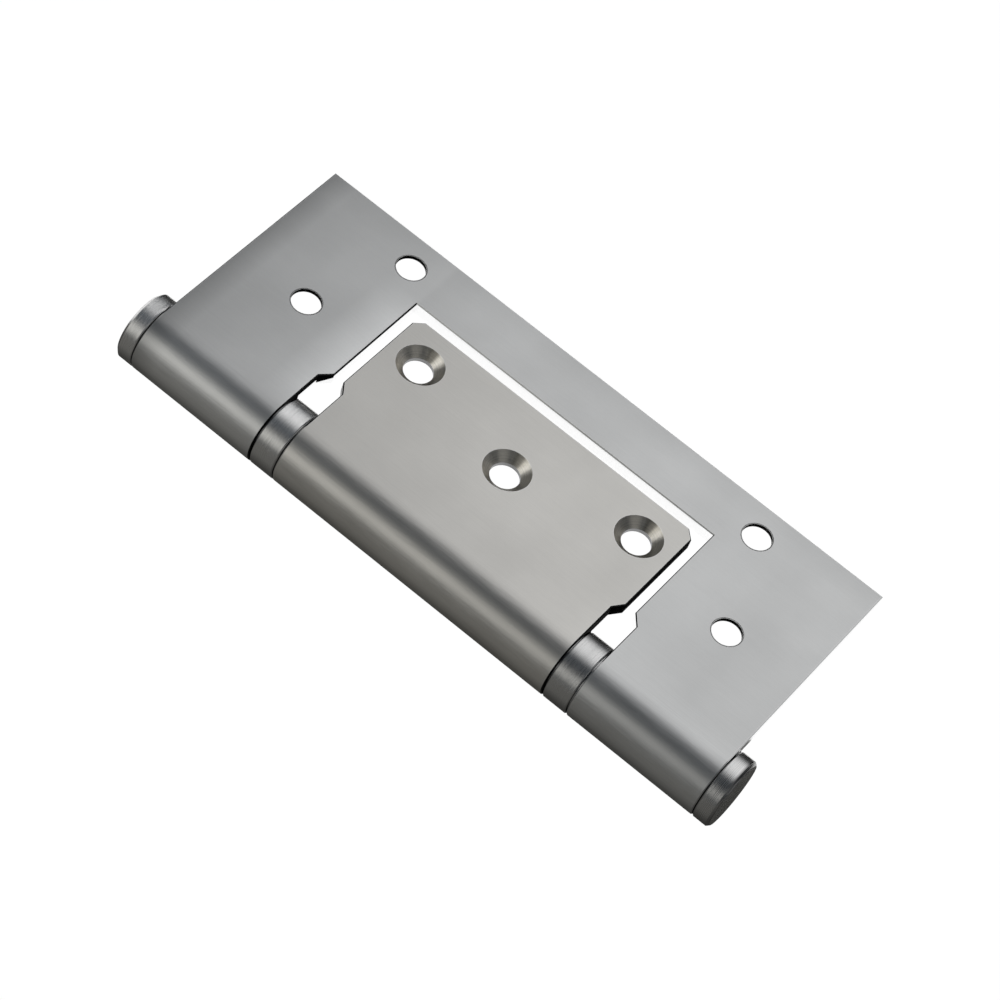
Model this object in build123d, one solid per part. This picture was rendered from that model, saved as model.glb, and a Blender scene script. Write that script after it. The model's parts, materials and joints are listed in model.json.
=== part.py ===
from build123d import *
from math import asin, cos, degrees, pi, radians, sin, tan
import os

# Flush hinge with two thrust ball bearings, closed: the inner leaf lies in the outer leaf's window.
# Frame, in millimetres: +X along the pin, +Y across the leaves to their free edges, +Z out of the
# face that the outer leaf puts against the door frame. The origin is on the pin's axis, half way
# along it.

# Both leaves
SHEET = 2.5                    # thickness of the stainless sheet
BARREL_RADIUS = 6.8            # outside of the rolled knuckles, the bearings and the heads
SEAM_GAP = 0.4                 # from the rolled end's outer corner to the sheet's underside
EDGE_BREAK = 0.2               # chamfer on the outward rims of leaves, shells and heads
SLOT = 2.1                     # gap between the inner leaf and the window, on three sides

# Outer leaf
LEAF_LENGTH = 125.0            # along the pin
OUTER_FREE_EDGE = 48.0         # from the pin's axis
WINDOW_LENGTH = 67.2           # along the pin
WINDOW_FAR_EDGE = 35.75        # from the pin's axis

# Inner leaf
MIDDLE_KNUCKLE_LENGTH = 60.0
CORNER_CHAMFER = 1.7           # on the inner leaf's two free corners

# Both leaves step away from each bearing through a slanted edge
STEP_CLEAR = 3.3               # from the barrel's surface to the start of the slant
STEP_RUN = 2.2                 # length of the slant across the leaf

# Screw holes, for countersunk wood screws
SCREW_HOLE_RADIUS = 2.8
COUNTERSINK_RADIUS = 4.5
COUNTERSINK_ANGLE = 90.0       # included angle of the cone
NEAR_HOLE_INSET = 15.3         # outer leaf, beside the window: from the leaf's end
NEAR_HOLE_Y = 21.0             # and from the pin's axis
FAR_HOLE_INSET = 23.15         # outer leaf, beyond the window: from the leaf's end
FAR_HOLE_EDGE = 6.7            # and from the free edge
INNER_HOLE_INSET = 6.9         # inner leaf, nearer the free edge: from the leaf's end
INNER_HOLE_EDGE = 8.15         # and from the free edge
MIDDLE_HOLE_Y = 19.2           # inner leaf, the middle hole: from the pin's axis

# Pin and end plug
PIN_CLEARANCE = 0.05           # radial, between the pin and the knuckles
PRESSED_LENGTH = 8.0           # stretch of the pin beside its head that is pressed into the knuckle
PLUG_SPIGOT_LENGTH = 6.0       # pressed into the knuckle at the other end
PLUG_TO_PIN_GAP = 0.5
PIN_LEAD_IN = 0.6              # chamfer on the ends that go into the knuckles
HEAD_THICKNESS = 3.3
HEAD_CHAMFER = 0.5             # round the flat end of each head
HEAD_GAP = 0.2                 # between each head and its knuckle

# Thrust bearings
SHELL_LENGTH = 4.95            # of the turned ring that shows
SHELL_GAP = 0.25               # between the ring and each knuckle
SHELL_WALL = 0.6
RACE_CLEARANCE = 0.1           # radial, between the races and the pin
MOVING_RACE_CLEARANCE = 0.15   # radial, between the moving race and the shell
BALL_RADIUS = 0.6
BALL_COUNT = 10                # in each bearing
BALL_RINGS = 5                 # rings of corners on a ball: it is modelled with flat facets, to stay light
BALL_SIDES = 10                # corners in each ring
BALL_PLAY = 0.05               # between a ball's sphere and each race
CAGE_THICKNESS = 0.7
CAGE_CLEARANCE = 0.15          # radial, between the cage and the pin or the shell
POCKET_CLEARANCE = 0.05        # between a ball and its pocket's sides

# Sizes that follow from these
eye_radius = BARREL_RADIUS - SHEET
sheet_top = BARREL_RADIUS
sheet_under = sheet_top - SHEET
roll_end_angle = degrees(asin((sheet_under - SEAM_GAP) / BARREL_RADIUS))
leaf_end = LEAF_LENGTH / 2
window_end = WINDOW_LENGTH / 2
middle_knuckle_end = MIDDLE_KNUCKLE_LENGTH / 2
bearing_space = SHELL_LENGTH + 2 * SHELL_GAP
bearing_middle = middle_knuckle_end + bearing_space / 2
outer_knuckle_start = middle_knuckle_end + bearing_space
inner_leaf_end = window_end - SLOT
inner_free_edge = WINDOW_FAR_EDGE - SLOT
step_start = BARREL_RADIUS + STEP_CLEAR
step_end = step_start + STEP_RUN
pin_radius = eye_radius - PIN_CLEARANCE
pin_end = leaf_end - PLUG_SPIGOT_LENGTH - PLUG_TO_PIN_GAP
shell_bore = BARREL_RADIUS - SHELL_WALL
race_bore = pin_radius + RACE_CLEARANCE
race_face = BALL_RADIUS + BALL_PLAY
cage_bore = pin_radius + CAGE_CLEARANCE
cage_radius = shell_bore - CAGE_CLEARANCE
ball_circle = (cage_bore + cage_radius) / 2

# Screw hole centres: (X, Y) on the outer leaf and on the inner leaf
outer_holes = [
    (side * (leaf_end - inset), y)
    for side in (-1, 1)
    for inset, y in (
        (NEAR_HOLE_INSET, NEAR_HOLE_Y),
        (FAR_HOLE_INSET, OUTER_FREE_EDGE - FAR_HOLE_EDGE),
    )
]
inner_holes = [
    (-(inner_leaf_end - INNER_HOLE_INSET), inner_free_edge - INNER_HOLE_EDGE),
    (0, MIDDLE_HOLE_Y),
    (inner_leaf_end - INNER_HOLE_INSET, inner_free_edge - INNER_HOLE_EDGE),
]

# A cutting solid reaches this far past what it cuts, and two lengths closer than NEARLY are equal
REACH = 1.0
NEARLY = 1e-4


def polygon(points):
    """Flat face inside a closed run of straight lines."""
    return make_face(Polyline(*points, close=True))


def rolled_sheet(length, free_edge):
    """Sheet with one edge rolled into an eye round the pin's axis, half its length each side of X = 0.

    The top face runs on as the barrel's outside, down the back and round underneath, and the rolled
    end stops just short of the sheet's underside, which leaves the seam.
    """
    turn = 270 + roll_end_angle
    end_x, end_y = cos(radians(roll_end_angle)), sin(radians(roll_end_angle))
    section = make_face(
        [
            Line((free_edge, sheet_top), (0, sheet_top)),
            CenterArc((0, 0), BARREL_RADIUS, 90, turn),
            Line((BARREL_RADIUS * end_x, BARREL_RADIUS * end_y), (eye_radius * end_x, eye_radius * end_y)),
            CenterArc((0, 0), eye_radius, 90 + turn, -turn),
            Line((0, sheet_under), (free_edge, sheet_under)),
            Line((free_edge, sheet_under), (free_edge, sheet_top)),
        ]
    )
    return extrude(Plane.YZ * section, amount=length / 2, both=True)


def column(outline):
    """Solid over a plan outline, taller than the barrel, to keep or to cut a stretch of a leaf."""
    height = BARREL_RADIUS + REACH
    return extrude(Plane.XY.offset(-height) * outline, amount=2 * height)


def both_sides(half):
    """Flat face inside a half outline at +X, given from the barrel outwards, and its mirror image."""
    return polygon(half + [(-x, y) for x, y in reversed(half)])


def break_outward_rims(leaf):
    """Leaf with a small chamfer round its top face and round its knuckles' ends, on the outside."""
    top_rim = leaf.faces().sort_by(Axis.Z)[-1].edges().filter_by(lambda edge: edge.center().Y > NEARLY)
    knuckle_rims = leaf.edges().filter_by(GeomType.CIRCLE)
    knuckle_rims = knuckle_rims.filter_by(lambda edge: abs(edge.radius - BARREL_RADIUS) < NEARLY)
    return chamfer(top_rim + knuckle_rims, EDGE_BREAK)


def screw_hole(centre, countersunk_face, plain_face):
    """Solid to cut for one screw, countersunk from the height of one face and plain at the other."""
    outward = REACH if countersunk_face > plain_face else -REACH
    inward = -outward / REACH
    cone_depth = (COUNTERSINK_RADIUS - SCREW_HOLE_RADIUS) / tan(radians(COUNTERSINK_ANGLE / 2))
    half_section = polygon(
        [
            (0, countersunk_face + outward),
            (COUNTERSINK_RADIUS, countersunk_face + outward),
            (COUNTERSINK_RADIUS, countersunk_face),
            (SCREW_HOLE_RADIUS, countersunk_face + inward * cone_depth),
            (SCREW_HOLE_RADIUS, plain_face - outward),
            (0, plain_face - outward),
        ]
    )
    return Pos(*centre, 0) * revolve(Plane.XZ * half_section, axis=Axis.Z)


def outer_leaf():
    """Outer leaf: the sheet with its window, the two end knuckles and four holes sunk from below."""
    window = both_sides(
        [
            (outer_knuckle_start, -BARREL_RADIUS - REACH),
            (outer_knuckle_start, step_start),
            (window_end, step_end),
            (window_end, WINDOW_FAR_EDGE),
        ]
    )
    leaf = break_outward_rims(rolled_sheet(LEAF_LENGTH, OUTER_FREE_EDGE) - column(window))
    for centre in outer_holes:
        leaf -= screw_hole(centre, sheet_under, sheet_top)
    return leaf


def inner_leaf():
    """Inner leaf: the sheet that fills the window, the middle knuckle and three holes sunk from above."""
    outline = both_sides(
        [
            (middle_knuckle_end, -BARREL_RADIUS - REACH),
            (middle_knuckle_end, step_start),
            (inner_leaf_end, step_end),
            (inner_leaf_end, inner_free_edge - CORNER_CHAMFER),
            (inner_leaf_end - CORNER_CHAMFER, inner_free_edge),
        ]
    )
    leaf = break_outward_rims(rolled_sheet(2 * inner_leaf_end, inner_free_edge) & column(outline))
    for centre in inner_holes:
        leaf -= screw_hole(centre, sheet_top, sheet_under)
    return leaf


def turned(points):
    """Solid turned about the pin's axis from a section of (X, radius) points."""
    return revolve(polygon(points), axis=Axis.X)


def head_outline(side):
    """Section points of a head past the knuckle on one side: its flat end, its rims, its inner face."""
    inner_face = leaf_end + HEAD_GAP
    flat_end = inner_face + HEAD_THICKNESS
    return [
        (side * flat_end, 0),
        (side * flat_end, BARREL_RADIUS - HEAD_CHAMFER),
        (side * (flat_end - HEAD_CHAMFER), BARREL_RADIUS),
        (side * (inner_face + EDGE_BREAK), BARREL_RADIUS),
        (side * inner_face, BARREL_RADIUS - EDGE_BREAK),
        (side * inner_face, eye_radius),
    ]


def hinge_pin():
    """Pin with its head at -X, a pressed stretch in the first knuckle and a running shaft after it."""
    pressed_end = -leaf_end + PRESSED_LENGTH
    return turned(
        head_outline(-1)
        + [
            (pressed_end, eye_radius),
            (pressed_end, pin_radius),
            (pin_end - PIN_LEAD_IN, pin_radius),
            (pin_end, pin_radius - PIN_LEAD_IN),
            (pin_end, 0),
        ]
    )


def end_plug():
    """Plug at +X with the same head and a short spigot, pressed in after the pin."""
    spigot_end = leaf_end - PLUG_SPIGOT_LENGTH
    return turned(
        head_outline(1)
        + [
            (spigot_end + PIN_LEAD_IN, eye_radius),
            (spigot_end, eye_radius - PIN_LEAD_IN),
            (spigot_end, 0),
        ]
    )


def bearing_shell():
    """Turned ring that shows between two knuckles, centred on X = 0."""
    half = SHELL_LENGTH / 2
    return turned(
        [
            (-half, shell_bore),
            (-half, BARREL_RADIUS - EDGE_BREAK),
            (-half + EDGE_BREAK, BARREL_RADIUS),
            (half - EDGE_BREAK, BARREL_RADIUS),
            (half, BARREL_RADIUS - EDGE_BREAK),
            (half, shell_bore),
        ]
    )


def race(rim):
    """Hardened washer of radius rim, from the balls' +X side to the knuckle."""
    back = bearing_space / 2
    return turned([(race_face, race_bore), (race_face, rim), (back, rim), (back, race_bore)])


def ball_places():
    """Places of the balls round the pin, each turned to face it, centred on X = 0."""
    return [Rot(360 * index / BALL_COUNT, 0, 0) * Pos(0, ball_circle, 0) for index in range(BALL_COUNT)]


def ball_ring(from_pole):
    """Corners on the ball's sphere in one ring, at an angle from the pole at -X."""
    ring_radius = BALL_RADIUS * sin(from_pole)
    turns = [2 * pi * side / BALL_SIDES for side in range(BALL_SIDES)]
    return [(-BALL_RADIUS * cos(from_pole), ring_radius * cos(turn), ring_radius * sin(turn)) for turn in turns]


def ball():
    """Ball with flat facets, whose corners lie in rings on its sphere, with its poles along X."""
    rings = [ball_ring(pi * (ring + 0.5) / BALL_RINGS) for ring in range(BALL_RINGS)]
    facets = [polygon(rings[0]), polygon(rings[-1])]
    for ring, following in zip(rings, rings[1:]):
        for side in range(BALL_SIDES):
            facets.append(polygon([ring[side - 1], ring[side], following[side], following[side - 1]]))
    return Solid(Shell(facets))


def ball_cage():
    """Flat ring with a square pocket for each ball, centred on X = 0."""
    half = CAGE_THICKNESS / 2
    cage = turned([(-half, cage_bore), (-half, cage_radius), (half, cage_radius), (half, cage_bore)])
    pocket_width = 2 * (BALL_RADIUS + POCKET_CLEARANCE)
    pocket = Box(CAGE_THICKNESS + 2 * REACH, pocket_width, pocket_width)
    for place in ball_places():
        cage -= place * pocket
    return cage


def bearing_pieces():
    """The pieces of one bearing by name, centred on X = 0, with the outer leaf's knuckle at +X."""
    pieces = {
        "bearing_shell": bearing_shell(),
        "fixed_race": race(shell_bore),
        "moving_race": mirror(race(shell_bore - MOVING_RACE_CLEARANCE), Plane.YZ),
        "ball_cage": ball_cage(),
    }
    for number, place in enumerate(ball_places(), start=1):
        pieces[f"ball_{number:02d}"] = place * ball()
    return pieces


def hinge_pieces():
    """Every piece of the hinge by name, in its place."""
    pieces = {
        "outer_leaf": outer_leaf(),
        "inner_leaf": inner_leaf(),
        "hinge_pin": hinge_pin(),
        "end_plug": end_plug(),
    }
    for name, piece in bearing_pieces().items():
        placed = Pos(bearing_middle, 0, 0) * piece
        pieces[f"right_{name}"] = placed
        pieces[f"left_{name}"] = mirror(placed, Plane.YZ)
    return pieces


os.makedirs("parts", exist_ok=True)
for name, piece in hinge_pieces().items():
    export_step(piece, f"parts/{name}.step")
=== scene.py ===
import json
import math

import bpy
import numpy as np
from mathutils import Matrix, Vector


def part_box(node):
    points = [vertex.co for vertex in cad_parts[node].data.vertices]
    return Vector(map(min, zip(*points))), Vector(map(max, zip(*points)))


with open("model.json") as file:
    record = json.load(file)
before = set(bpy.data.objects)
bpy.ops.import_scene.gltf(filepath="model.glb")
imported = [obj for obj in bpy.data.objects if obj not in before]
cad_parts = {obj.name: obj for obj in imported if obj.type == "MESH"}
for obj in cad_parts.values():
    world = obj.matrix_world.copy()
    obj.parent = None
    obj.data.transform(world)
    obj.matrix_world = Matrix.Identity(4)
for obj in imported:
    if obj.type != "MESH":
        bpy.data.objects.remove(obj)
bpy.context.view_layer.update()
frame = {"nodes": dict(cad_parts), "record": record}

bl_info = {
    "name": "Flush hinge",
    "version": (1, 0, 0),
    "blender": (4, 5, 0),
    "location": "3D View > Sidebar > Hinge",
    "description": "Finishes a stainless flush hinge and sets its studio",
    "category": "Object",
}

MOUNTS = {mount["name"]: mount for mount in frame["record"]["mounts"]}
BARREL_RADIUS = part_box("outer_leaf")[1].z


def screw_axes(*names):
    """Places of the screw holes that some mounts name, each in metres on its leaf."""
    places = []
    for name in names:
        mount = MOUNTS[name]
        x, y, z = mount["pos_m"]
        half = mount["dims"].get("spacing_x_mm", 0) / 2000
        places += [(x + side * half, y, z) for side in ((-1, 1) if half else (0,))]
    return places


# Soft lights by name: middle, width and height, blur of the sides and of top and bottom, colour

SOFT_LIGHTS = {
    "Back_light": ((0.055, 0.270, 0.350), (0.524, 0.581), (0.030, 0.404), (1.0, 1.0, 1.0)),
    "Front_light": ((-0.176, -0.346, 0.189), (0.340, 0.231), (0.330, 0.225), (1.0, 0.985, 0.93)),
    "Side_light": ((-0.478, -0.190, 0.550), (0.390, 0.390), (0.312, 0.312), (0.9, 0.97, 1.06)),
    "End_light": ((-0.488, -0.259, 0.234), (0.26, 0.20), (0.12, 0.12), (1.0, 1.0, 1.0)),
    "Right_light": ((0.456, -0.213, 0.327), (0.45, 0.30), (0.20, 0.20), (1.0, 0.99, 0.96)),
}

# Cards by name that only reflections see, which paint dark reflections: middle, and the vectors along
# their two sides

PAINTED_REFLECTION_CARDS = {
    "Dark_card": ((0, -0.396, -0.012), (1.6, 0, 0), (0, 0.8, 0)),
    "Dark_card_end": ((0.104, 0.012, -0.012), (0.08, 0, 0), (0, 0.016, 0)),
    "Dark_card_back": ((0.275, 0.35, -0.05), (1.05, 0, 0), (0, 0, 0.18)),
    "Dark_card_low": ((-0.069, 0.217, -0.05), (0.262, 0, 0), (0, 0.266, 0)),
}

# Places in metres, with the frame's axes

OUTLINE_X = 0.058  # the outer leaf's end walls lie beyond it
HEAD_END_X = 0.0655  # the heads' outer faces lie beyond it
END_WALL_START = 0.003  # Y from which an end wall is polished
NOTCH_START = 0.005  # Y from which a wall of the window or a notch is polished
SLANT_START = 0.0101  # Y where the notch starts to narrow
SLANT_END = 0.0123  # Y where the slot starts
# Band of painted shade at the top of the polished walls that face right
NOTCH_BAND = 0.00135  # height of the dark band in the notch
SLANT_BAND = (0.0022, 0.00095)  # heights of the dark band at the slant's two ends
HOLE_SHADOW = 0.0002  # width of the dark rim round a plain screw hole
# Reach of the painted shade on the plug's outer rim
END_SHADE_REACH = (0.0009, 0.0005)  # from the plug's end to where its rim starts to darken and is dark
HALF_BEARINGS = 0.033  # X of the right bearing's middle

# Limits of a normal's part along an axis

SLANTED = 0.3
SQUARE = 0.8
ROUND_END = 0.9
LEVEL = 0.95

# Painted light, shade and reflection by place: the axis, where a ramp starts and ends along it, and its
# levels there

# Painted shade at the outer leaf's left end and free edge, a painted highlight in a strip left of the
# window, and painted shade by the right knuckle
PAINTED_LEAF_SHADE = (("X", -0.0625, -0.0575, 0.66, 1.0), ("Y", 0.042, 0.048, 1.0, 0.92))
PAINTED_STRIP_LIGHT = (
    ("X", -0.0415, -0.0345, 0.0, 0.33),
    ("X", -0.034, -0.033, 1.0, 0.0),
    ("Y", 0.029, 0.037, 1.0, 0.2),
    ("Y", 0.0, 0.006, 0.0, 1.0),
)
PAINTED_CORNER_SHADE = (
    ("X", 0.040, 0.050, 0.0, 0.07),
    ("Y", 0.018, 0.030, 1.0, 0.0),
    ("Y", 0.0, 0.005, 0.0, 1.0),
)
CARD_RAMPS = (
    ("Y", -BARREL_RADIUS, -3 * BARREL_RADIUS, 0.06, 0.19),
    ("Y", 0.03, 0.06, 1.0, 0.25),
    ("X", -0.06, 0.08, 1.1, 0.78),
)

# Range that most of a noise, or nearly all of it, lies in

MOST_NOISE = (0.3, 0.7)
ALL_NOISE = (0.2, 0.8)

# Satin faces: levels multiply a colour, a spread is added to and taken from a roughness

CLOUD_LEVELS = (0.94, 1.05)
LINE_LEVELS = (0.955, 1.045)
SATIN_SPREAD = 0.03
# Edge wear on top edges, partly a painted highlight: width and strength, then colour
LEAF_WEAR_AND_HIGHLIGHT = (0.00028, 0.9)  # width and strength
WORN_AND_HIGHLIT_LEAF = (0.76, 0.76, 0.75, 1.0)

# Screw holes

HOLE_LEVELS = (1.1, 1.36)
HOLE_TINT = (1.0, 0.97, 0.91, 1.0)
HOLE_FEED = 0.00006  # distance between the tool marks that tilt the normal
HOLE_RINGS = 0.0003  # distance between the rings that change the colour
HOLE_TILT = 0.7
HOLE_ROUGHNESS = 0.34
HOLE_SPREAD = 0.06
# Painted shade on a countersink, past the end of its glint
GLINT_END = math.radians(92)  # way round a countersink, from +X, at which its glint ends
GLINT_EDGE = (0.955, 0.99)  # cosines of the angles from there at which its shadow starts and is full
GLINT_SHADOW = 0.4
# Painted shade on the inner leaf's bore walls
INNER_BORE_SHADE = 0.25

# Cuts: a normal leans by adding +Z, so that the cut mirrors what is higher

CUT_LEVELS = (0.96, 1.0)
CUT_STRIPES = (4500.0, 500.0)  # stripes in a metre along a cut and down it
CUT_ROUGHNESS = 0.2
CUT_LEAN = 0.6
RIM_LEAN = 1.4
PLAIN_CUT = 0.38
PLAIN_CUT_ROUGHNESS = 0.55

# Turned pieces

RADIUS_SHARE = 0.7  # how much a step outwards counts for rings, where one along the axis counts 1
RING_LEVELS = (0.97, 1.03)
TURNED_CLOUD_LEVELS = (0.97, 1.02)
# Painted shade on the turned fronts, and painted light on top that changes from left to right
FRONT_NORMALS = (-0.35, -0.62)  # normal's part along Y where the front starts and is full
PAINTED_FRONT_SHADE = 0.66
PAINTED_TOP_LIGHT = (1.22, 0.88)  # at the left and at the right bearing
# Painted shade on the plug's end rim, and painted light on flat end faces
RIM_SHADE = 0.3
FRONT_RIM_SHADE = 0.9
PAINTED_END_FACE_LIGHT = 1.3
# Edge wear, partly a painted highlight: width and strength, then colour
TURNED_WEAR_AND_HIGHLIGHT = (0.00015, 0.2)
WORN_AND_HIGHLIT_TURNED = (0.80, 0.80, 0.79, 1.0)
# Painted shade on the flat faces inside the gaps
PAINTED_GAP_SHADE = (0.03, 0.03, 0.03, 1.0)

# Inside the bearings

RACE_FINISH = ((0.6, 0.6, 0.6), 0.16, 0.00006, 0.1)  # colour, roughness, feed and tilt
BALL_COLOURS = ((0.68, 0.68, 0.69, 1.0), (0.76, 0.76, 0.77, 1.0))
BALL_ROUGHNESS = (0.11, 0.03)  # middle and spread, as for the cage
CAGE_COLOURS = ((0.72, 0.70, 0.63, 1.0), (0.78, 0.76, 0.70, 1.0))
CAGE_ROUGHNESS = (0.525, 0.075)
CAGE_SKIN = 4000.0  # grains in a metre
CAGE_GRAIN = 0.00002

# Studio: colours, and lengths in metres

FLOOR_WIDTH = 30
FLOOR_COLOUR = (0.93, 0.93, 0.93, 1.0)
FLOOR_SHARE = 0.85  # share of the floor's white that doesn't depend on the lamps
FLOOR_WHITE = 1.14
# Colour of the painted reflection on the cards
PAINTED_REFLECTION_COLOUR = (1.0, 0.985, 0.93, 1.0)
ROOM_COLOUR = (0.82, 0.97, 1.15, 1.0)
CAMERA_REACH = (0.01, 100.0)

# Sizes and colours that a user would change


class LeafFinish(bpy.types.PropertyGroup):
    """Satin sheet of the two leaves."""

    outer_colour: bpy.props.FloatVectorProperty(
        name="Outer leaf",
        description="Colour of the outer leaf's steel",
        subtype="COLOR",
        size=3,
        min=0,
        max=1,
        default=(0.583, 0.586, 0.583),
    )
    inner_colour: bpy.props.FloatVectorProperty(
        name="Inner leaf",
        description="Colour of the inner leaf's steel",
        subtype="COLOR",
        size=3,
        min=0,
        max=1,
        default=(0.60, 0.588, 0.562),
    )
    roughness: bpy.props.FloatProperty(
        name="Roughness",
        description="Blur of what the satin faces mirror",
        min=0,
        max=1,
        subtype="FACTOR",
        default=0.39,
    )
    brush_tilt: bpy.props.FloatProperty(
        name="Brush tilt",
        description="Steepness of the brushed lines",
        min=0,
        max=3,
        default=0.16,
    )
    brush_pitch: bpy.props.FloatProperty(
        name="Brush pitch",
        description="Distance between the brushed lines",
        unit="LENGTH",
        subtype="DISTANCE",
        min=0.00002,
        default=0.00013,
        precision=5,
    )
    brush_length: bpy.props.FloatProperty(
        name="Brush length",
        description="Length of one brushed line",
        unit="LENGTH",
        subtype="DISTANCE",
        min=0.0005,
        default=0.006,
    )
    countersink_radius: bpy.props.FloatProperty(
        name="Countersink",
        description="Radius inside which a screw hole has a turned finish",
        unit="LENGTH",
        subtype="DISTANCE",
        min=0.001,
        default=0.0046,
        precision=5,
    )
    bright_cut: bpy.props.FloatProperty(
        name="Polished cuts",
        description="Brightness of the outer leaf's polished outline and window",
        min=0,
        max=1,
        subtype="FACTOR",
        default=1.0,
    )
    # Near-black level of the sheared cuts: duller sheared steel, and painted shade
    sheared_cut_shade: bpy.props.FloatProperty(
        name="Sheared cuts",
        description="Brightness of the sheared cuts of the inner leaf and beside the barrel",
        min=0,
        max=1,
        subtype="FACTOR",
        default=0.012,
    )
    # Height of the band of painted shade at the top of a polished side cut
    painted_shade_band: bpy.props.FloatProperty(
        name="Dark band",
        description="Height of the dark band at the top of a polished side cut",
        unit="LENGTH",
        subtype="DISTANCE",
        min=0,
        default=0.00045,
        precision=5,
    )


class TurnedFinish(bpy.types.PropertyGroup):
    """Turned pin, plug and bearing shells."""

    colour: bpy.props.FloatVectorProperty(
        name="Colour",
        description="Colour of the turned steel",
        subtype="COLOR",
        size=3,
        min=0,
        max=1,
        default=(0.745, 0.742, 0.735),
    )
    roughness: bpy.props.FloatProperty(
        name="Roughness",
        description="Blur of what the turned faces mirror",
        min=0,
        max=1,
        subtype="FACTOR",
        default=0.27,
    )
    feed: bpy.props.FloatProperty(
        name="Feed",
        description="Distance between the tool marks",
        unit="LENGTH",
        subtype="DISTANCE",
        min=0.00002,
        default=0.00004,
        precision=5,
    )
    tilt: bpy.props.FloatProperty(
        name="Tilt",
        description="Steepness of the tool marks",
        min=0,
        max=4,
        default=1.0,
    )


class StudioSettings(bpy.types.PropertyGroup):
    """Floor, lamps and camera."""

    floor_drop: bpy.props.FloatProperty(
        name="Floor drop",
        description="Height of the hinge's pin above the floor",
        unit="LENGTH",
        subtype="DISTANCE",
        min=0.01,
        default=0.16,
    )
    ambient: bpy.props.FloatProperty(
        name="Ambient",
        description="Brightness of the room round the lamps",
        min=0,
        default=0.038,
    )
    back_light: bpy.props.FloatProperty(
        name="Back soft light",
        description="Brightness of the large soft light over the free edges",
        min=0,
        default=0.97,
    )
    front_light: bpy.props.FloatProperty(
        name="Front soft light",
        description="Brightness of the low soft light before the barrel",
        min=0,
        default=1.13,
    )
    side_light: bpy.props.FloatProperty(
        name="Side fill light",
        description="Brightness of the weak light over the left end",
        min=0,
        default=0.16,
    )
    end_light: bpy.props.FloatProperty(
        name="End light",
        description="Brightness of the light past the left end that glints in the countersinks",
        min=0,
        default=1.75,
    )
    right_light: bpy.props.FloatProperty(
        name="Right fill light",
        description="Brightness of the weak light before the right end",
        min=0,
        default=0.25,
    )
    camera_location: bpy.props.FloatVectorProperty(
        name="Camera place",
        description="Where the camera stands",
        unit="LENGTH",
        subtype="TRANSLATION",
        size=3,
        default=(0.134364, -0.353588, 0.502442),
        precision=5,
    )
    camera_turn: bpy.props.FloatVectorProperty(
        name="Camera turn",
        description="Where the camera looks",
        unit="ROTATION",
        subtype="EULER",
        size=3,
        default=(math.radians(35.97361), math.radians(-13.71771), math.radians(37.79519)),
    )
    camera_lens: bpy.props.FloatProperty(
        name="Focal length",
        description="Focal length in millimetres on a sensor 36 mm wide",
        min=1,
        default=132.662,
    )


# Helpers for node trees


def fill_sockets(tree, node, inputs):
    """Sets each of a node's inputs to a value, or links it to another node's socket."""
    for key, value in inputs.items():
        socket = node.inputs[key]
        if isinstance(value, bpy.types.NodeSocket):
            tree.links.new(value, socket)
        else:
            socket.default_value = value


def add_node(tree, kind, inputs=None, **settings):
    """New node with its settings, and its inputs set to a value or linked to another node's socket."""
    node = tree.nodes.new(kind)
    for name, value in settings.items():
        setattr(node, name, value)
    fill_sockets(tree, node, inputs or {})
    return node


def calculate(tree, operation, *values, clamp=False):
    """Output of a Math node."""
    inputs = dict(enumerate(values))
    return add_node(tree, "ShaderNodeMath", inputs, operation=operation, use_clamp=clamp).outputs[0]


def product(tree, first, *others):
    """Product of some numbers; that of masks is 1 where all of them are."""
    for other in others:
        first = calculate(tree, "MULTIPLY", first, other)
    return first


def either(tree, first, second):
    """Mask that is 1 where one of two masks is."""
    return calculate(tree, "MAXIMUM", first, second)


def without(tree, first, second):
    """First mask less the second."""
    return calculate(tree, "SUBTRACT", first, second, clamp=True)


def above(tree, value, limit):
    """Mask that is 1 where the value is above the limit."""
    return calculate(tree, "GREATER_THAN", value, limit)


def below(tree, value, limit):
    """Mask that is 1 where the value is below the limit."""
    return calculate(tree, "LESS_THAN", value, limit)


def vector_math(tree, operation, *values, **named):
    """Output of a Vector Math node: a number for a length or a dot product, or else a vector."""
    inputs = {**dict(enumerate(values)), **named}
    outputs = add_node(tree, "ShaderNodeVectorMath", inputs, operation=operation).outputs
    return outputs["Value" if operation in ("DOT_PRODUCT", "LENGTH") else "Vector"]


def turn_normal(tree, normal, old_space, new_space):
    """Normal in another space."""
    settings = {"vector_type": "NORMAL", "convert_from": old_space, "convert_to": new_space}
    return add_node(tree, "ShaderNodeVectorTransform", {0: normal}, **settings).outputs[0]


def own_normal(tree):
    """Face's own normal in the object's space."""
    normal = add_node(tree, "ShaderNodeNewGeometry").outputs["Normal"]
    return turn_normal(tree, normal, "WORLD", "OBJECT")


def split(tree, vector):
    """The three parts of a vector."""
    return add_node(tree, "ShaderNodeSeparateXYZ", {0: vector}).outputs


def grey(tree, value):
    """Colour whose three parts are one value."""
    return add_node(tree, "ShaderNodeCombineColor", {0: value, 1: value, 2: value}).outputs[0]


def mix_values(tree, share, first, second):
    """Output of a number Mix node."""
    inputs = {0: share, 2: first, 3: second}
    return add_node(tree, "ShaderNodeMix", inputs, data_type="FLOAT").outputs[0]


def remap(tree, value, from_low, from_high, to_low, to_high, **settings):
    """Output of a clamped Map Range node."""
    inputs = {
        "Value": value,
        "From Min": from_low,
        "From Max": from_high,
        "To Min": to_low,
        "To Max": to_high,
    }
    return add_node(tree, "ShaderNodeMapRange", inputs, **settings).outputs["Result"]


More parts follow.
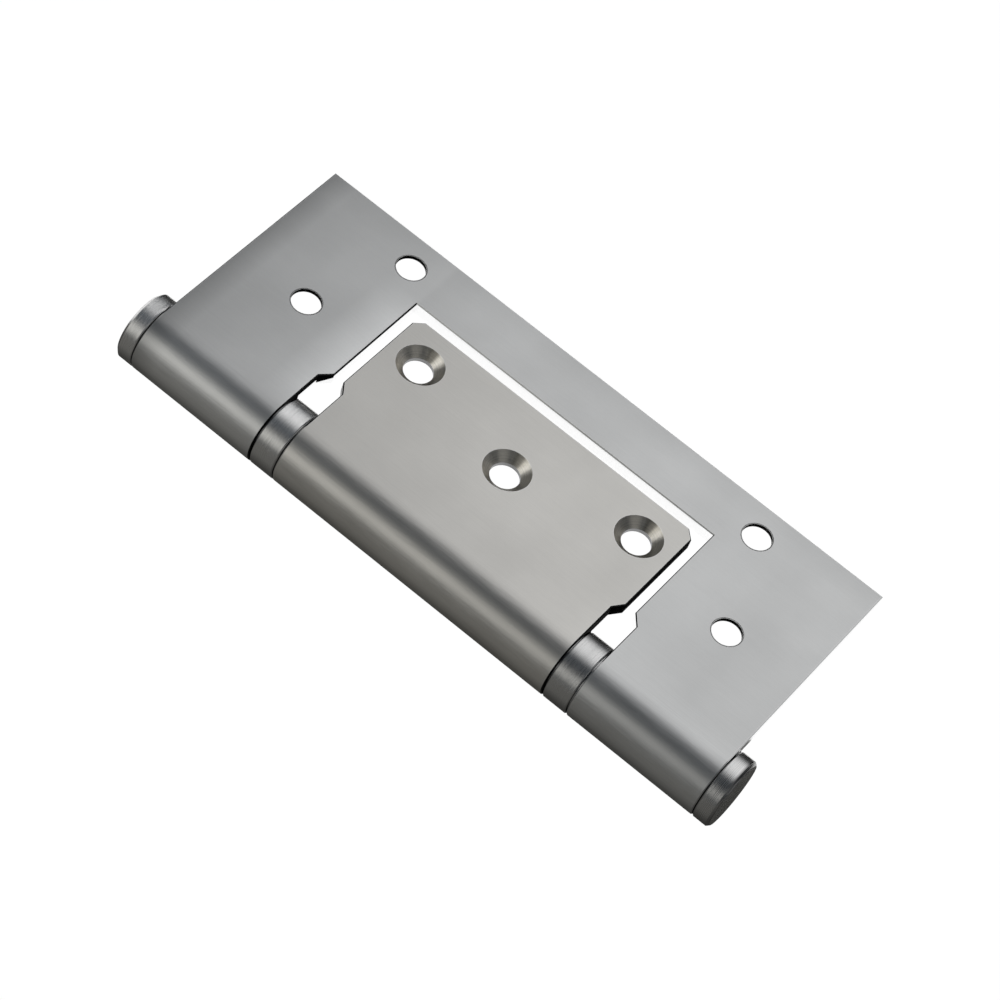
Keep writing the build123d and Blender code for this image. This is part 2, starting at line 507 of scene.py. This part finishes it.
def ramps(tree, axes, rows):
    """Product of ramps, each with the name of its axis and remap's four numbers."""
    return product(tree, *(remap(tree, axes[axis], *numbers) for axis, *numbers in rows))


def vary(tree, noise, middle, spread, noise_range=ALL_NOISE):
    """Value that a noise moves about its middle."""
    return remap(tree, noise, *noise_range, middle - spread, middle + spread)


def mix_vectors(tree, share, first, second):
    """Output of a vector Mix node."""
    inputs = {0: share, 4: first, 5: second}
    return add_node(tree, "ShaderNodeMix", inputs, data_type="VECTOR").outputs[1]


def blend_colours(tree, share, first, second, blend_type="MIX"):
    """Output of a colour Mix node."""
    settings = {"data_type": "RGBA", "blend_type": blend_type}
    return add_node(tree, "ShaderNodeMix", {0: share, 6: first, 7: second}, **settings).outputs[2]


def new_group(name, inputs, outputs):
    """Empty shader node group with named sockets, and its input and output nodes."""
    tree = bpy.data.node_groups.new(name, "ShaderNodeTree")
    for label, kind, default in inputs:
        socket = tree.interface.new_socket(name=label, in_out="INPUT", socket_type=kind)
        if default is not None:
            socket.default_value = default
    for label, kind in outputs:
        tree.interface.new_socket(name=label, in_out="OUTPUT", socket_type=kind)
    return tree, tree.nodes.new("NodeGroupInput").outputs, tree.nodes.new("NodeGroupOutput").inputs


def place_group(tree, group, **values):
    """Outputs of a node group placed in a material; an input's name has _ for a space."""
    inputs = {label.replace("_", " "): value for label, value in values.items()}
    return add_node(tree, "ShaderNodeGroup", inputs, node_tree=group).outputs


# Shared effects


def brushed_lines_group():
    """Fine lines along X: noise that is stretched by the ratio of a line's length to its pitch.

    The normal tilts across the lines by that noise, which blurs what the face mirrors more across the
    lines than along them.
    """
    tree, given, result = new_group(
        "Brushed lines",
        [
            ("Vector", "NodeSocketVector", None),
            ("Pitch", "NodeSocketFloat", 0.0002),
            ("Length", "NodeSocketFloat", 0.006),
            ("Tilt", "NodeSocketFloat", 0.0),
        ],
        [("Lines", "NodeSocketFloat"), ("Clouds", "NodeSocketFloat"), ("Normal", "NodeSocketVector")],
    )
    across = calculate(tree, "DIVIDE", 1.0, given["Pitch"])
    along = calculate(tree, "DIVIDE", 1.0, given["Length"])
    stretch = add_node(tree, "ShaderNodeCombineXYZ", {0: along, 1: across, 2: across}).outputs[0]
    stretched = vector_math(tree, "MULTIPLY", given["Vector"], stretch)
    fine = {"Vector": stretched, "Scale": 1.0, "Detail": 2.0, "Roughness": 0.6}
    lines = add_node(tree, "ShaderNodeTexNoise", fine).outputs["Fac"]
    wide = {"Vector": given["Vector"], "Scale": 55.0, "Detail": 3.0}
    clouds = add_node(tree, "ShaderNodeTexNoise", wide).outputs["Fac"]
    own = own_normal(tree)
    over_lines = vector_math(tree, "CROSS_PRODUCT", own, (1, 0, 0))
    slope = calculate(tree, "MULTIPLY", calculate(tree, "SUBTRACT", lines, 0.5), given["Tilt"])
    tilted = vector_math(tree, "ADD", own, vector_math(tree, "SCALE", over_lines, Scale=slope))
    turned = turn_normal(tree, tilted, "OBJECT", "WORLD")
    tree.links.new(lines, result["Lines"])
    tree.links.new(clouds, result["Clouds"])
    tree.links.new(vector_math(tree, "NORMALIZE", turned), result["Normal"])
    return tree


def tool_marks_group():
    """Marks on a turned face: its normal tilts along the profile by noise over the way along it.

    The way is the place along the axis plus a share of the distance from it, so that cylinders, cones
    and flat ends all have rings. Where the point has no outward direction, the normal stays.
    """
    tree, given, result = new_group(
        "Tool marks",
        [
            ("Vector", "NodeSocketVector", None),
            ("Outward", "NodeSocketVector", None),
            ("Axis", "NodeSocketVector", None),
            ("Feed", "NodeSocketFloat", 0.0001),
            ("Tilt", "NodeSocketFloat", 0.8),
        ],
        [("Rings", "NodeSocketFloat"), ("Normal", "NodeSocketVector")],
    )
    along = vector_math(tree, "DOT_PRODUCT", given["Vector"], given["Axis"])
    radius = vector_math(tree, "LENGTH", given["Outward"])
    way = calculate(tree, "MULTIPLY_ADD", radius, RADIUS_SHARE, along)
    turns = calculate(tree, "DIVIDE", way, given["Feed"])
    fine = {"W": turns, "Scale": 1.0, "Detail": 1.0, "Roughness": 0.6}
    rings = add_node(tree, "ShaderNodeTexNoise", fine, noise_dimensions="1D").outputs["Fac"]
    own = own_normal(tree)
    way_round = vector_math(tree, "CROSS_PRODUCT", given["Axis"], given["Outward"])
    way_round = vector_math(tree, "NORMALIZE", way_round)
    profile = vector_math(tree, "CROSS_PRODUCT", way_round, own)
    slope = calculate(tree, "MULTIPLY", calculate(tree, "SUBTRACT", rings, 0.5), given["Tilt"])
    tilted = vector_math(tree, "ADD", own, vector_math(tree, "SCALE", profile, Scale=slope))
    tree.links.new(rings, result["Rings"])
    turned = turn_normal(tree, tilted, "OBJECT", "WORLD")
    tree.links.new(vector_math(tree, "NORMALIZE", turned), result["Normal"])
    return tree


def hole_group():
    """Vector in the leaf's plane from one hole's axis, and a mask; both are 0 beyond its reach."""
    tree, given, result = new_group(
        "Screw hole",
        [
            ("Vector", "NodeSocketVector", None),
            ("Hole", "NodeSocketVector", None),
            ("Reach", "NodeSocketFloat", 0.0045),
        ],
        [("Outward", "NodeSocketVector"), ("Mask", "NodeSocketFloat")],
    )
    gap = vector_math(tree, "SUBTRACT", given["Vector"], given["Hole"])
    flat = vector_math(tree, "MULTIPLY", gap, (1, 1, 0))
    mask = below(tree, vector_math(tree, "LENGTH", flat), given["Reach"])
    tree.links.new(vector_math(tree, "SCALE", flat, Scale=mask), result["Outward"])
    tree.links.new(mask, result["Mask"])
    return tree


def edge_wear_and_highlight_group():
    """Mask that is 1 at outward edges, for wear and a painted highlight: how far a rounded normal
    leaves the face's own normal.
    """
    tree, given, result = new_group(
        "Worn edges",
        [("Width", "NodeSocketFloat", 0.0002)],
        [("Mask", "NodeSocketFloat")],
    )
    rounded = add_node(tree, "ShaderNodeBevel", {"Radius": given["Width"]}, samples=4).outputs[0]
    own = add_node(tree, "ShaderNodeNewGeometry").outputs["Normal"]
    agreement = vector_math(tree, "DOT_PRODUCT", rounded, own)
    mask = remap(tree, agreement, 0.995, 0.9, 0.0, 1.0)
    tree.links.new(mask, result["Mask"])
    return tree


def build_groups():
    """Every shared effect by name."""
    return {
        "lines": brushed_lines_group(),
        "marks": tool_marks_group(),
        "hole": hole_group(),
        "edges": edge_wear_and_highlight_group(),
    }


def effect(name):
    """One shared effect, built when the first material asks for it."""
    if not hasattr(effect, "built"):
        effect.built = build_groups()
    return effect.built[name]


# Materials


def new_material(name):
    """Node material with a Principled BSDF, its tree and its object coordinates."""
    material = bpy.data.materials.new(name)
    material.use_nodes = True
    tree = material.node_tree
    coordinates = add_node(tree, "ShaderNodeTexCoord").outputs
    return material, tree, tree.nodes["Principled BSDF"], coordinates


def connect(tree, shader, **values):
    """Links or sets the shader's inputs; an input's name has _ for a space."""
    fill_sockets(tree, shader, {label.replace("_", " "): value for label, value in values.items()})


def opaque(colour):
    """Colour with an alpha of 1."""
    return (*colour, 1.0)


def leaf_faces(tree, place, holes, reach):
    """Parts of the place and of the own normal on a leaf, and masks of its kinds of face, all by name.

    Outward is the vector from a screw hole's axis, and 0 outside the holes.
    """
    x, y, z = split(tree, place)
    own = own_normal(tree)
    facing = split(tree, own)
    across = calculate(tree, "ABSOLUTE", facing["X"])
    upward = calculate(tree, "ABSOLUTE", facing["Z"])

    # Screw holes: all that lies within their reach and isn't level
    outward, in_hole = (0, 0, 0), 0.0
    for hole in holes:
        found = place_group(tree, effect("hole"), Vector=place, Hole=hole, Reach=reach)
        outward = vector_math(tree, "ADD", outward, found["Outward"])
        in_hole = calculate(tree, "ADD", in_hole, found["Mask"])
    in_hole = product(tree, in_hole, below(tree, upward, LEVEL))
    outward = vector_math(tree, "SCALE", outward, Scale=in_hole)

    # Cuts: the sheet's upright edges and the knuckles' ends
    off_barrel = above(tree, y, BARREL_RADIUS * 1.1)
    upright = below(tree, upward, SLANTED)
    is_cut = either(tree, product(tree, upright, off_barrel), above(tree, across, SQUARE))
    to_the_left = below(tree, facing["X"], -SLANTED)
    to_the_right = above(tree, facing["X"], SLANTED)
    to_the_top = above(tree, facing["Z"], SLANTED)
    outermost = above(tree, calculate(tree, "ABSOLUTE", x), OUTLINE_X)

    # Chamfers: those that face up and to a side, and of them and the barrel's, those along the gaps,
    # which get painted shade
    rim = product(tree, above(tree, across, SLANTED), to_the_top, above(tree, y, 0.0))
    rim = without(tree, rim, in_hole)
    left_rim = product(tree, rim, without(tree, to_the_left, outermost))
    chamfer = either(tree, to_the_top, calculate(tree, "SUBTRACT", 1.0, off_barrel))
    right_rim = product(tree, to_the_right, below(tree, across, SQUARE), chamfer)
    right_rim = without(tree, right_rim, either(tree, outermost, in_hole))
    return {
        "X": x,
        "Y": y,
        "Z": z,
        "own": own,
        "upward": upward,
        "outward": outward,
        "in_hole": in_hole,
        "bore_wall": product(tree, upright, in_hole),
        "is_cut": without(tree, is_cut, in_hole),
        "free_edge": above(tree, facing["Y"], SQUARE),
        "to_the_left": to_the_left,
        "to_the_right": to_the_right,
        "outermost": outermost,
        "rim": rim,
        "painted_rim_shade": either(tree, left_rim, right_rim),
    }


def outer_cuts(tree, faces, finish):
    """Level, sheared mask and plain mask of the outer leaf's cuts.

    They are polished, but for the walls beside the barrel, which take the near-black sheared level, and
    a band of painted shade at the top of each wall that faces right. The band is low along the slot,
    and higher in the notch and down its slant.
    """
    y = faces["Y"]
    depth = remap(tree, y, SLANT_START, SLANT_END, *SLANT_BAND)
    depth = mix_values(tree, below(tree, y, SLANT_START), depth, NOTCH_BAND)
    depth = mix_values(tree, above(tree, y, SLANT_END), depth, finish.painted_shade_band)
    in_band = above(tree, faces["Z"], calculate(tree, "SUBTRACT", BARREL_RADIUS, depth))
    banded = without(tree, faces["to_the_right"], faces["outermost"])
    start = mix_values(tree, faces["outermost"], NOTCH_START, END_WALL_START)
    polished = without(tree, above(tree, y, start), product(tree, banded, in_band))
    level = mix_values(tree, polished, finish.sheared_cut_shade, finish.bright_cut)
    sheared = either(tree, without(tree, faces["is_cut"], polished), faces["bore_wall"])
    return level, sheared, faces["free_edge"]


def inner_cuts(tree, faces, finish):
    """Level, sheared mask and plain mask of the inner leaf's cuts.

    They are sheared and near black, partly painted shade, but for the plain ones that face left or are
    its free edge.
    """
    plain = either(tree, faces["to_the_left"], faces["free_edge"])
    level = mix_values(tree, plain, finish.sheared_cut_shade, PLAIN_CUT)
    return level, without(tree, faces["is_cut"], plain), plain


def satin_colour(tree, colour, faces, lines, rings):
    """Colour of a leaf's faces: clouds, brushed lines, and in the holes rings and painted shade past
    the glint's end.
    """
    lightness = remap(tree, lines["Clouds"], *MOST_NOISE, *CLOUD_LEVELS)
    streaks = remap(tree, lines["Lines"], *MOST_NOISE, *LINE_LEVELS)
    away = vector_math(tree, "NORMALIZE", faces["outward"])
    glint_end = (math.cos(GLINT_END), math.sin(GLINT_END), 0.0)
    past_glint = vector_math(tree, "DOT_PRODUCT", away, glint_end)
    shadow = remap(tree, past_glint, *GLINT_EDGE, 1.0, GLINT_SHADOW)
    turning = product(tree, remap(tree, rings, *MOST_NOISE, *HOLE_LEVELS), shadow)
    turning = mix_values(tree, faces["in_hole"], 1.0, turning)
    shade = grey(tree, product(tree, lightness, streaks, turning))
    base = blend_colours(tree, 1.0, opaque(colour), shade, "MULTIPLY")
    return blend_colours(tree, faces["in_hole"], base, HOLE_TINT, "MULTIPLY")


def painted_outer_light(tree, base, place, faces, holes, dark):
    """Outer leaf's colour with painted light and shade from place to place and a painted shadow round
    each plain hole.
    """
    painted_strip = calculate(tree, "ADD", ramps(tree, faces, PAINTED_STRIP_LIGHT), 1.0)
    painted_light = product(tree, ramps(tree, faces, PAINTED_LEAF_SHADE), painted_strip)
    painted_light = calculate(tree, "SUBTRACT", painted_light, ramps(tree, faces, PAINTED_CORNER_SHADE))
    base = blend_colours(tree, 1.0, base, grey(tree, painted_light), "MULTIPLY")
    reach = MOUNTS["outer_near_screws"]["dims"]["hole_r_mm"] / 1000 + HOLE_SHADOW
    for hole in holes:
        rim = place_group(tree, effect("hole"), Vector=place, Hole=hole, Reach=reach)["Mask"]
        base = blend_colours(tree, rim, base, dark)
    return base


def cut_stripes(tree, faces):
    """Fine upright stripes on a cut, as a level."""
    along, down = CUT_STRIPES
    way = calculate(tree, "MULTIPLY", calculate(tree, "ADD", faces["X"], faces["Y"]), along)
    depth = calculate(tree, "MULTIPLY", faces["Z"], down)
    where = add_node(tree, "ShaderNodeCombineXYZ", {0: way, 2: depth}).outputs[0]
    stripes = add_node(tree, "ShaderNodeTexNoise", {"Vector": where, "Scale": 1.0, "Detail": 2.0})
    return remap(tree, stripes.outputs["Fac"], *MOST_NOISE, *CUT_LEVELS)


def leaf_material(name, colour, holes, is_outer):
    """Satin sheet with fine lines along X, turned screw holes and striped cut edges."""
    finish = bpy.context.scene.leaf_finish
    # Near-black colour of the sheared cuts, also used for painted shade on rims, hole rims and the
    # outer bore walls
    dark = opaque([finish.sheared_cut_shade] * 3)
    material, tree, shader, coordinates = new_material(name)
    place = coordinates["Object"]
    faces = leaf_faces(tree, place, holes, finish.countersink_radius)
    in_hole, is_cut, rim = faces["in_hole"], faces["is_cut"], faces["rim"]
    find_cuts = outer_cuts if is_outer else inner_cuts
    cut_level, sheared, plain = find_cuts(tree, faces, finish)

    turned = {"Vector": place, "Outward": faces["outward"], "Axis": (0, 0, 1)}
    marks = place_group(tree, effect("marks"), **turned, Feed=HOLE_FEED, Tilt=HOLE_TILT)
    rings = place_group(tree, effect("marks"), **turned, Feed=HOLE_RINGS)["Rings"]
    on_face = calculate(tree, "SUBTRACT", 1.0, either(tree, in_hole, is_cut))
    lines = place_group(
        tree,
        effect("lines"),
        Vector=place,
        Pitch=finish.brush_pitch,
        Length=finish.brush_length,
        Tilt=product(tree, on_face, finish.brush_tilt),
    )

    base = satin_colour(tree, colour, faces, lines, rings)
    if is_outer:
        base = painted_outer_light(tree, base, place, faces, holes, dark)
    cut_colour = grey(tree, product(tree, cut_level, cut_stripes(tree, faces)))
    base = blend_colours(tree, is_cut, base, cut_colour)
    # Painted shade on the chamfers along the gaps
    base = blend_colours(tree, faces["painted_rim_shade"], base, dark)
    # Painted shade on the bore walls inside the holes
    bore_shade = dark if is_outer else opaque([INNER_BORE_SHADE] * 3)
    base = blend_colours(tree, faces["bore_wall"], base, bore_shade)
    # Edge wear on top edges, with a painted highlight
    edge_width, wear_and_highlight_strength = LEAF_WEAR_AND_HIGHLIGHT
    worn_and_highlit = place_group(tree, effect("edges"), Width=edge_width)["Mask"]
    worn_and_highlit = product(tree, worn_and_highlit, faces["upward"], wear_and_highlight_strength)
    base = blend_colours(tree, without(tree, worn_and_highlit, faces["painted_rim_shade"]), base, WORN_AND_HIGHLIT_LEAF)

    satin = vary(tree, lines["Lines"], finish.roughness, SATIN_SPREAD)
    hole_rough = vary(tree, rings, HOLE_ROUGHNESS, HOLE_SPREAD, MOST_NOISE)
    cut_rough = mix_values(tree, plain, CUT_ROUGHNESS, PLAIN_CUT_ROUGHNESS)
    rough = mix_values(tree, is_cut, mix_values(tree, in_hole, satin, hole_rough), cut_rough)

    lean = vector_math(tree, "SCALE", (0, 0, 1), Scale=mix_values(tree, rim, CUT_LEAN, RIM_LEAN))
    leaning = turn_normal(tree, vector_math(tree, "ADD", faces["own"], lean), "OBJECT", "WORLD")
    leaning = vector_math(tree, "NORMALIZE", leaning)
    normal = mix_vectors(tree, in_hole, lines["Normal"], marks["Normal"])
    normal = mix_vectors(tree, either(tree, sheared, rim), normal, leaning)
    connect(tree, shader, Base_Color=base, Roughness=rough, Normal=normal, Metallic=1.0)
    return material


def turned_material(name, colour, roughness, feed, tilt):
    """Lathe-turned steel with rings about the pin's axis.

    It has painted shade at the front, and painted light on top that changes from the left to the right.
    Its flat faces inside the gaps have near-black painted shade.
    """
    material, tree, shader, coordinates = new_material(name)
    place = coordinates["Object"]
    x = split(tree, place)["X"]
    facing = split(tree, own_normal(tree))
    level = above(tree, calculate(tree, "ABSOLUTE", facing["X"]), ROUND_END)
    outward = vector_math(tree, "MULTIPLY", place, (0, 1, 1))
    turned = {"Vector": place, "Outward": outward, "Axis": (1, 0, 0)}
    marks = place_group(tree, effect("marks"), **turned, Feed=feed, Tilt=tilt)
    rings = marks["Rings"]
    clouds = place_group(tree, effect("lines"), Vector=place)["Clouds"]

    shade = product(
        tree,
        remap(tree, rings, *MOST_NOISE, *RING_LEVELS),
        remap(tree, clouds, *MOST_NOISE, *TURNED_CLOUD_LEVELS),
    )
    # Painted shade at the front and painted light on top
    frontal = remap(tree, facing["Y"], *FRONT_NORMALS, 0.0, 1.0)
    painted_top_light = remap(tree, x, -HALF_BEARINGS, HALF_BEARINGS, *PAINTED_TOP_LIGHT)
    shade = product(tree, shade, mix_values(tree, frontal, painted_top_light, PAINTED_FRONT_SHADE))
    base = blend_colours(tree, 1.0, opaque(colour), grey(tree, shade), "MULTIPLY")
    # Edge wear, with a painted highlight
    edge_width, wear_and_highlight_strength = TURNED_WEAR_AND_HIGHLIGHT
    worn_and_highlit = place_group(tree, effect("edges"), Width=edge_width)["Mask"]
    base = blend_colours(tree, product(tree, worn_and_highlit, wear_and_highlight_strength), base, WORN_AND_HIGHLIT_TURNED)
    # Painted shade on the flat faces inside the gaps
    inside = product(tree, level, below(tree, calculate(tree, "ABSOLUTE", x), HEAD_END_X))
    base = blend_colours(tree, inside, base, PAINTED_GAP_SHADE)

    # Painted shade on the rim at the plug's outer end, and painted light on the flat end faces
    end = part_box("end_plug")[1].x
    starts, ends = (end - reach for reach in END_SHADE_REACH)
    rim_shade = mix_values(tree, frontal, RIM_SHADE, FRONT_RIM_SHADE)
    rim_shade = remap(tree, x, starts, ends, 1.0, rim_shade)
    rim_shade = mix_values(tree, level, rim_shade, PAINTED_END_FACE_LIGHT)
    base = blend_colours(tree, 1.0, base, grey(tree, rim_shade), "MULTIPLY")
    rough = vary(tree, rings, roughness, SATIN_SPREAD)
    connect(tree, shader, Base_Color=base, Roughness=rough, Normal=marks["Normal"], Metallic=1.0)
    return material


def ball_material():
    """Polished ball steel with faint handling marks."""
    material, tree, shader, coordinates = new_material("Ball steel")
    clouds = place_group(tree, effect("lines"), Vector=coordinates["Object"])["Clouds"]
    base = blend_colours(tree, clouds, *BALL_COLOURS)
    rough = vary(tree, clouds, *BALL_ROUGHNESS, MOST_NOISE)
    connect(tree, shader, Base_Color=base, Roughness=rough, Metallic=1.0)
    return material


def cage_material():
    """Moulded nylon with a fine eggshell skin."""
    material, tree, shader, coordinates = new_material("Cage nylon")
    place = coordinates["Object"]
    fine = {"Vector": place, "Scale": CAGE_SKIN, "Detail": 2.0}
    skin = add_node(tree, "ShaderNodeTexNoise", fine).outputs["Fac"]
    clouds = place_group(tree, effect("lines"), Vector=place)["Clouds"]
    base = blend_colours(tree, clouds, *CAGE_COLOURS)
    bump = {"Strength": 0.4, "Distance": CAGE_GRAIN, "Height": skin}
    normal = add_node(tree, "ShaderNodeBump", bump).outputs[0]
    rough = vary(tree, skin, *CAGE_ROUGHNESS, MOST_NOISE)
    connect(tree, shader, Base_Color=base, Roughness=rough, Normal=normal)
    return material


def dress(node, material):
    """Gives a CAD node its material."""
    node.data.materials.clear()
    node.data.materials.append(material)


# Operators


class HINGE_OT_finish_leaves(bpy.types.Operator):
    """Gives both leaves their satin steel"""

    bl_idname = "hinge.finish_leaves"
    bl_label = "Finish the leaves"

    def execute(self, context):
        finish = context.scene.leaf_finish
        nodes = frame["nodes"]
        outer_holes = screw_axes("outer_near_screws", "outer_far_screws")
        inner_holes = screw_axes("inner_end_screws", "inner_middle_screw")
        outer = leaf_material("Outer leaf steel", finish.outer_colour, outer_holes, True)
        inner = leaf_material("Inner leaf steel", finish.inner_colour, inner_holes, False)
        dress(nodes["outer_leaf"], outer)
        dress(nodes["inner_leaf"], inner)
        return {"FINISHED"}


class HINGE_OT_finish_pin(bpy.types.Operator):
    """Gives the pin, the end plug and the bearing shells their turned steel"""

    bl_idname = "hinge.finish_pin"
    bl_label = "Finish the turned pieces"

    def execute(self, context):
        finish = context.scene.turned_finish
        values = (finish.colour, finish.roughness, finish.feed, finish.tilt)
        steel = turned_material("Turned steel", *values)
        for name in ("hinge_pin", "end_plug", "left_bearing_shell", "right_bearing_shell"):
            dress(frame["nodes"][name], steel)
        return {"FINISHED"}


class HINGE_OT_finish_bearings(bpy.types.Operator):
    """Gives the races, balls and cages inside the bearings their finishes"""

    bl_idname = "hinge.finish_bearings"
    bl_label = "Finish the bearings"

    def execute(self, context):
        race = turned_material("Ground race steel", *RACE_FINISH)
        ball = ball_material()
        cage = cage_material()
        for name, node in frame["nodes"].items():
            if "race" in name:
                dress(node, race)
            elif "cage" in name:
                dress(node, cage)
            elif "ball" in name:
                dress(node, ball)
        return {"FINISHED"}


def flat_sheet(name, middle, across, up):
    """Rectangle of points middle + u across + v up, u and v from -1/2 to 1/2; its UV map has metres."""
    u, v = (part.reshape(-1, 1) for part in np.meshgrid((-0.5, 0.5), (-0.5, 0.5)))
    across, up = np.array(across), np.array(up)
    corners = np.array(middle) + u * across + v * up
    metres = np.hstack([u * np.linalg.norm(across), v * np.linalg.norm(up)])
    order = (0, 1, 3, 2)
    mesh = bpy.data.meshes.new(name)
    mesh.from_pydata(corners.tolist(), [], [order])
    mesh.uv_layers.new(name="Metres").data.foreach_set("uv", metres[list(order)].ravel())
    sheet = bpy.data.objects.new(name, mesh)
    bpy.context.scene.collection.objects.link(sheet)
    return sheet


def glow_material(name):
    """Material whose only shader is an emission, with its tree."""
    material, tree, shader, coordinates = new_material(name)
    tree.nodes.remove(shader)
    glow = add_node(tree, "ShaderNodeEmission")
    tree.links.new(glow.outputs[0], tree.nodes["Material Output"].inputs["Surface"])
    return material, tree, glow, coordinates


def floor_material():
    """White floor: it shows white to the eye, to metal and to glass, and still takes a shadow."""
    material, tree, shader = new_material("White floor")[:3]
    connect(tree, shader, Base_Color=FLOOR_COLOUR, Roughness=0.9, Specular_IOR_Level=0.0)
    path = add_node(tree, "ShaderNodeLightPath").outputs
    seen = either(tree, path["Is Camera Ray"], path["Is Glossy Ray"])
    share = product(tree, either(tree, seen, path["Is Transmission Ray"]), FLOOR_SHARE)
    glow = {"Color": (1, 1, 1, 1), "Strength": FLOOR_WHITE}
    white = add_node(tree, "ShaderNodeEmission", glow).outputs[0]
    mixed = add_node(tree, "ShaderNodeMixShader", {0: share, 1: shader.outputs[0], 2: white}).outputs[0]
    tree.links.new(mixed, tree.nodes["Material Output"].inputs["Surface"])
    return material


def painted_reflection_material():
    """Glowing grey sheet below the barrel that only reflections see: a painted reflection, which fades
    from light at the far end to dark under the hinge.
    """
    material, tree, glow, coordinates = glow_material("Dark card")
    strength = ramps(tree, split(tree, coordinates["Object"]), CARD_RAMPS)
    connect(tree, glow, Color=PAINTED_REFLECTION_COLOUR, Strength=strength)
    return material


def soft_light(name, place, size, blur, radiance, colour):
    """Clear glowing sheet that faces the hinge, its width level, and fades over a blur at each edge."""
    back = Vector(place).normalized()
    level = Vector((0, 0, 1)).cross(back).normalized()
    across = level * -(size[0] + blur[0]) * math.copysign(1, level.x)
    up = across.cross(back).normalized() * (size[1] + blur[1])
    sheet = flat_sheet(name, place, across, up)
    material, tree, glow, coordinates = glow_material(name)
    metres = split(tree, coordinates["UV"])
    behind = add_node(tree, "ShaderNodeNewGeometry").outputs["Backfacing"]
    strength = product(tree, calculate(tree, "SUBTRACT", 1.0, behind), radiance)
    for part, length, fade in zip(metres, size, blur):
        from_middle = calculate(tree, "ABSOLUTE", part)
        ramp = ((length - fade) / 2, (length + fade) / 2, 1.0, 0.0)
        edge = remap(tree, from_middle, *ramp, interpolation_type="SMOOTHSTEP")
        strength = product(tree, strength, edge)
    connect(tree, glow, Color=opaque(colour), Strength=strength)
    clear = add_node(tree, "ShaderNodeBsdfTransparent").outputs[0]
    added = add_node(tree, "ShaderNodeAddShader", {0: glow.outputs[0], 1: clear}).outputs[0]
    tree.links.new(added, tree.nodes["Material Output"].inputs["Surface"])
    sheet.data.materials.append(material)
    sheet.visible_camera = False
    sheet.visible_shadow = False
    return sheet


class HINGE_OT_set_studio(bpy.types.Operator):
    """Sets the floor, the lamps, the room's light and the camera"""

    bl_idname = "hinge.set_studio"
    bl_label = "Set the studio"

    def execute(self, context):
        studio = context.scene.studio_settings
        middle = (0, 0, -studio.floor_drop)
        floor = flat_sheet("Floor", middle, (FLOOR_WIDTH, 0, 0), (0, FLOOR_WIDTH, 0))
        floor.data.materials.append(floor_material())

        painted_reflection = painted_reflection_material()
        # Cards that only reflections see, which paint dark reflections below the barrel
        for name, (middle, across, up) in PAINTED_REFLECTION_CARDS.items():
            card = flat_sheet(name, middle, across, up)
            card.data.materials.append(painted_reflection)
            for ray in ("camera", "diffuse", "transmission", "shadow", "volume_scatter"):
                setattr(card, f"visible_{ray}", False)

        for name, (place, size, blur, colour) in SOFT_LIGHTS.items():
            soft_light(name, place, size, blur, getattr(studio, name.lower()), colour)

        world = bpy.data.worlds.new("Room")
        world.use_nodes = True
        background = world.node_tree.nodes["Background"]
        background.inputs["Color"].default_value = ROOM_COLOUR
        background.inputs["Strength"].default_value = studio.ambient
        context.scene.world = world

        lens = bpy.data.cameras.new("Camera")
        lens.lens = studio.camera_lens
        lens.clip_start, lens.clip_end = CAMERA_REACH
        camera = bpy.data.objects.new("Camera", lens)
        camera.location = studio.camera_location
        camera.rotation_euler = studio.camera_turn
        context.scene.collection.objects.link(camera)
        context.scene.camera = camera
        context.scene.view_settings.view_transform = "Standard"
        return {"FINISHED"}


class HINGE_PT_sidebar(bpy.types.Panel):
    """Hinge settings and steps"""

    bl_idname = "HINGE_PT_sidebar"
    bl_label = "Flush hinge"
    bl_space_type = "VIEW_3D"
    bl_region_type = "UI"
    bl_category = "Hinge"

    def draw(self, context):
        layout = self.layout
        for group in SETTINGS:
            settings = getattr(context.scene, group)
            box = layout.box()
            for name in SETTINGS[group].__annotations__:
                box.prop(settings, name)
        for operator in OPERATORS:
            layout.operator(operator.bl_idname)


SETTINGS = {
    "leaf_finish": LeafFinish,
    "turned_finish": TurnedFinish,
    "studio_settings": StudioSettings,
}
OPERATORS = (
    HINGE_OT_finish_leaves,
    HINGE_OT_finish_pin,
    HINGE_OT_finish_bearings,
    HINGE_OT_set_studio,
)


def register():
    """Makes the settings, operators and panel known to Blender."""
    for kind in (*SETTINGS.values(), *OPERATORS, HINGE_PT_sidebar):
        bpy.utils.register_class(kind)
    for name, group in SETTINGS.items():
        setattr(bpy.types.Scene, name, bpy.props.PointerProperty(type=group))


def unregister():
    """Takes them away again."""
    for name in SETTINGS:
        delattr(bpy.types.Scene, name)
    for kind in reversed((*SETTINGS.values(), *OPERATORS, HINGE_PT_sidebar)):
        bpy.utils.unregister_class(kind)


def main():
    """Registers the add-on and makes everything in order."""
    register()
    bpy.ops.hinge.finish_leaves()
    bpy.ops.hinge.finish_pin()
    bpy.ops.hinge.finish_bearings()
    bpy.ops.hinge.set_studio()


if __name__ == "__main__":
    main()
